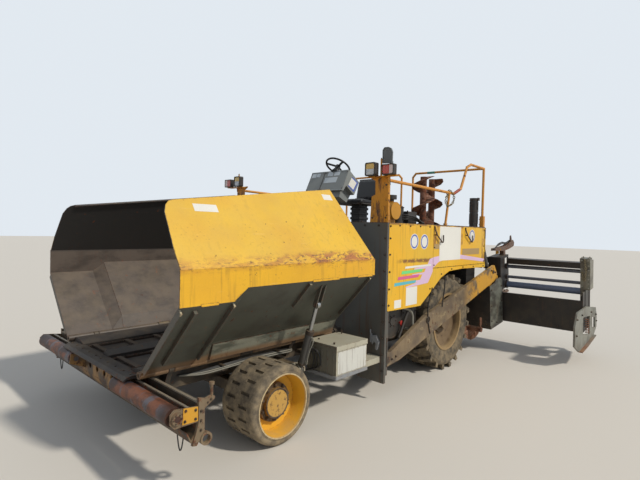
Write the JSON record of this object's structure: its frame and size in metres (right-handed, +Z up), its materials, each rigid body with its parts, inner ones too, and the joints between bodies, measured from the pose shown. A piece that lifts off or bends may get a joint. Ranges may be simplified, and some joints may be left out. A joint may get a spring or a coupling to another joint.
{
  "type": "asphalt paver",
  "caption": "Wheeled asphalt paver: hopper with folding wings, slat conveyor, augers, tow arms and a raised screed with its extensions pulled out.",
  "frame": {"origin": "on the ground, in the middle of the machine's length and width", "axes": "+X to the machine's left, +Y to its rear, +Z up; it drives towards -Y"},
  "size_m": [4.636, 6.084, 2.563],
  "materials": {
    "yellow_paint": "worn yellow paint, chipped and dusty",
    "rusty_yellow": "yellow paint with rust through it",
    "rim_yellow": "dull yellow paint, dusty",
    "black_steel": "black paint, oily and dusty",
    "grey_steel": "dark grey paint, scuffed",
    "grey_paint": "light grey paint, dusty",
    "deck_steel": "dark painted deck plate",
    "worn_steel": "bare steel, scoured and stained",
    "rusty_steel": "rusty brown steel",
    "bright_rod": "bright plated rod",
    "tyre": "worn rubber, dusty",
    "grey_plastic": "grey console, dusty",
    "black_plastic": "black",
    "seat_vinyl": "black vinyl, worn",
    "lamp_lens": "lamp housings and lenses"
  },
  "bodies": {
    "chassis": {"frame": "black_steel", "axles": "black_steel", "hopper_floor": "worn_steel", "conveyor": "worn_steel", "push_beam": "rusty_yellow", "side_boxes": "grey_paint", "bulkhead": "grey_steel", "side_panels": "yellow_paint", "deck": "deck_steel", "engine": "black_steel", "console": "grey_plastic", "steering_wheel": "black_plastic", "seat": "seat_vinyl", "lamp_posts": "rusty_yellow", "lamps": "lamp_lens", "mirror": "black_plastic", "handrails": "rusty_yellow", "air_cleaner": "yellow_paint", "stored_augers": "rusty_steel", "auger_frame": "black_steel"},
    "knuckle_l": {"knuckle_l": "black_steel"},
    "knuckle_r": {"knuckle_r": "black_steel"},
    "tie_rod": {"tie_rod": "black_steel"},
    "front_wheel_l": {"tyre_fl": "tyre", "rim_fl": "rim_yellow"},
    "front_wheel_r": {"tyre_fr": "tyre", "rim_fr": "rim_yellow"},
    "rear_wheel_l": {"tyre_rl": "tyre", "rim_rl": "rim_yellow"},
    "rear_wheel_r": {"tyre_rr": "tyre", "rim_rr": "rim_yellow"},
    "roller_l": {"roller_l": "rusty_steel"},
    "roller_r": {"roller_r": "rusty_steel"},
    "wing_l": {"wing_l": "yellow_paint"},
    "wing_r": {"wing_r": "yellow_paint"},
    "wing_barrel_l": {"wing_barrel_l": "black_steel"},
    "wing_barrel_r": {"wing_barrel_r": "black_steel"},
    "wing_rod_l": {"wing_rod_l": "bright_rod"},
    "wing_rod_r": {"wing_rod_r": "bright_rod"},
    "lid_l": {"lid_l": "grey_paint"},
    "lid_r": {"lid_r": "grey_paint"},
    "door_l": {"door_l": "yellow_paint"},
    "door_r": {"door_r": "yellow_paint"},
    "auger_l": {"auger_l": "rusty_steel"},
    "auger_r": {"auger_r": "rusty_steel"},
    "lift_barrel_l": {"lift_barrel_l": "black_steel"},
    "lift_barrel_r": {"lift_barrel_r": "black_steel"},
    "lift_rod_l": {"lift_rod_l": "bright_rod"},
    "lift_rod_r": {"lift_rod_r": "bright_rod"},
    "screed": {"tow_arms": "rusty_steel", "screed_main": "black_steel", "screed_deck": "rusty_steel"},
    "ext_l": {"ext_l": "black_steel"},
    "ext_r": {"ext_r": "black_steel"},
    "shoe_l": {"shoe_l": "grey_steel"},
    "shoe_r": {"shoe_r": "grey_steel"}
  },
  "joints": [
    {"name": "steer_l", "type": "hinge", "parent": "chassis", "child": "knuckle_l", "pos_m": [0.76, -2.036, 0.309], "axis": [0, 0, 1], "range_deg": [-15, 15]},
    {"name": "steer_r", "type": "hinge", "parent": "chassis", "child": "knuckle_r", "pos_m": [-0.76, -2.036, 0.309], "axis": [0, 0, 1], "range_deg": [-15, 15]},
    {"name": "tie_rod_slide", "type": "slide", "parent": "chassis", "child": "tie_rod", "axis": [1, 0, 0], "range_m": [-0.056, 0.056]},
    {"name": "front_wheel_spin_l", "type": "hinge", "parent": "knuckle_l", "child": "front_wheel_l", "pos_m": [1, -2.036, 0.309], "axis": [1, 0, 0], "continuous": true},
    {"name": "rear_wheel_spin_l", "type": "hinge", "parent": "chassis", "child": "rear_wheel_l", "pos_m": [0.97, 0.729, 0.578], "axis": [1, 0, 0], "continuous": true},
    {"name": "roller_spin_l", "type": "hinge", "parent": "chassis", "child": "roller_l", "pos_m": [0.64, -2.984, 0.515], "axis": [1, 0, 0], "continuous": true},
    {"name": "auger_spin_l", "type": "hinge", "parent": "chassis", "child": "auger_l", "pos_m": [0.64, 1.569, 0.362], "axis": [1, 0, 0], "continuous": true},
    {"name": "front_wheel_spin_r", "type": "hinge", "parent": "knuckle_r", "child": "front_wheel_r", "pos_m": [-1, -2.036, 0.309], "axis": [1, 0, 0], "continuous": true},
    {"name": "rear_wheel_spin_r", "type": "hinge", "parent": "chassis", "child": "rear_wheel_r", "pos_m": [-0.97, 0.729, 0.578], "axis": [1, 0, 0], "continuous": true},
    {"name": "roller_spin_r", "type": "hinge", "parent": "chassis", "child": "roller_r", "pos_m": [-0.64, -2.984, 0.515], "axis": [1, 0, 0], "continuous": true},
    {"name": "auger_spin_r", "type": "hinge", "parent": "chassis", "child": "auger_r", "pos_m": [-0.64, 1.569, 0.362], "axis": [1, 0, 0], "continuous": true},
    {"name": "wing_hinge_l", "type": "hinge", "parent": "chassis", "child": "wing_l", "pos_m": [0.7, -1.956, 0.628], "axis": [0, 1, 0], "range_deg": [0, 35]},
    {"name": "wing_barrel_pivot_l", "type": "hinge", "parent": "chassis", "child": "wing_barrel_l", "pos_m": [0.93, -1.606, 0.44], "axis": [0, 1, 0], "range_deg": [-2, 34.1]},
    {"name": "wing_rod_slide_l", "type": "slide", "parent": "wing_barrel_l", "child": "wing_rod_l", "axis": [0.2948, 0, 0.9556], "range_m": [-0.186, 0.01]},
    {"name": "lid_hinge_l", "type": "hinge", "parent": "chassis", "child": "lid_l", "pos_m": [0.827, -1.208, 0.645], "axis": [0, 1, 0], "range_deg": [-40, 0]},
    {"name": "door_hinge_l", "type": "hinge", "parent": "chassis", "child": "door_l", "pos_m": [1.226, 1.557, 1.5], "axis": [0, 0, 1], "range_deg": [0, 100]},
    {"name": "wing_hinge_r", "type": "hinge", "parent": "chassis", "child": "wing_r", "pos_m": [-0.7, -1.956, 0.628], "axis": [0, -1, 0], "range_deg": [0, 35]},
    {"name": "wing_barrel_pivot_r", "type": "hinge", "parent": "chassis", "child": "wing_barrel_r", "pos_m": [-0.93, -1.606, 0.44], "axis": [0, -1, 0], "range_deg": [-2, 34.1]},
    {"name": "wing_rod_slide_r", "type": "slide", "parent": "wing_barrel_r", "child": "wing_rod_r", "axis": [-0.2948, 0, 0.9556], "range_m": [-0.186, 0.01]},
    {"name": "lid_hinge_r", "type": "hinge", "parent": "chassis", "child": "lid_r", "pos_m": [-0.827, -1.208, 0.645], "axis": [0, -1, 0], "range_deg": [-40, 0]},
    {"name": "door_hinge_r", "type": "hinge", "parent": "chassis", "child": "door_r", "pos_m": [-1.226, 1.557, 1.5], "axis": [0, 0, -1], "range_deg": [0, 100]},
    {"name": "screed_lift", "type": "hinge", "parent": "chassis", "child": "screed", "pos_m": [0, -0.661, 0.395], "axis": [-1, 0, 0], "range_deg": [0, 7]},
    {"name": "lift_barrel_pivot_l", "type": "hinge", "parent": "chassis", "child": "lift_barrel_l", "pos_m": [1.12, 1.654, 1.64], "axis": [1, 0, 0], "range_deg": [-6.6, 1]},
    {"name": "lift_rod_slide_l", "type": "slide", "parent": "lift_barrel_l", "child": "lift_rod_l", "axis": [0, 0.4679, -0.8838], "range_m": [-0.01, 0.33]},
    {"name": "extension_slide_l", "type": "slide", "parent": "screed", "child": "ext_l", "axis": [1, 0, 0], "range_m": [-0.98, 0]},
    {"name": "shoe_slide_l", "type": "slide", "parent": "ext_l", "child": "shoe_l", "axis": [0, -0.1219, 0.9925], "range_m": [0, 0.19]},
    {"name": "lift_barrel_pivot_r", "type": "hinge", "parent": "chassis", "child": "lift_barrel_r", "pos_m": [-1.12, 1.654, 1.64], "axis": [1, 0, 0], "range_deg": [-6.6, 1]},
    {"name": "lift_rod_slide_r", "type": "slide", "parent": "lift_barrel_r", "child": "lift_rod_r", "axis": [0, 0.4679, -0.8838], "range_m": [-0.01, 0.33]},
    {"name": "extension_slide_r", "type": "slide", "parent": "screed", "child": "ext_r", "axis": [-1, 0, 0], "range_m": [-0.98, 0]},
    {"name": "shoe_slide_r", "type": "slide", "parent": "ext_r", "child": "shoe_r", "axis": [0, -0.1219, 0.9925], "range_m": [0, 0.19]}
  ],
  "couplings": [
    {"joint": "steer_r", "follows": "steer_l", "ratio": 1},
    {"joint": "tie_rod_slide", "follows": "steer_l", "m_per_rad": -0.2},
    {"joint": "wing_barrel_pivot_l", "follows": "wing_hinge_l", "ratio": 0.91803},
    {"joint": "wing_rod_slide_l", "follows": "wing_hinge_l", "m_per_rad": -0.28821},
    {"joint": "wing_barrel_pivot_r", "follows": "wing_hinge_r", "ratio": 0.91803},
    {"joint": "wing_rod_slide_r", "follows": "wing_hinge_r", "m_per_rad": -0.28821},
    {"joint": "lift_barrel_pivot_l", "follows": "screed_lift", "ratio": -0.80224},
    {"joint": "lift_rod_slide_l", "follows": "screed_lift", "m_per_rad": 2.6231},
    {"joint": "shoe_slide_l", "follows": "screed_lift", "m_per_rad": 1.5552},
    {"joint": "lift_barrel_pivot_r", "follows": "screed_lift", "ratio": -0.80224},
    {"joint": "lift_rod_slide_r", "follows": "screed_lift", "m_per_rad": 2.6231},
    {"joint": "shoe_slide_r", "follows": "screed_lift", "m_per_rad": 1.5552}
  ]
}
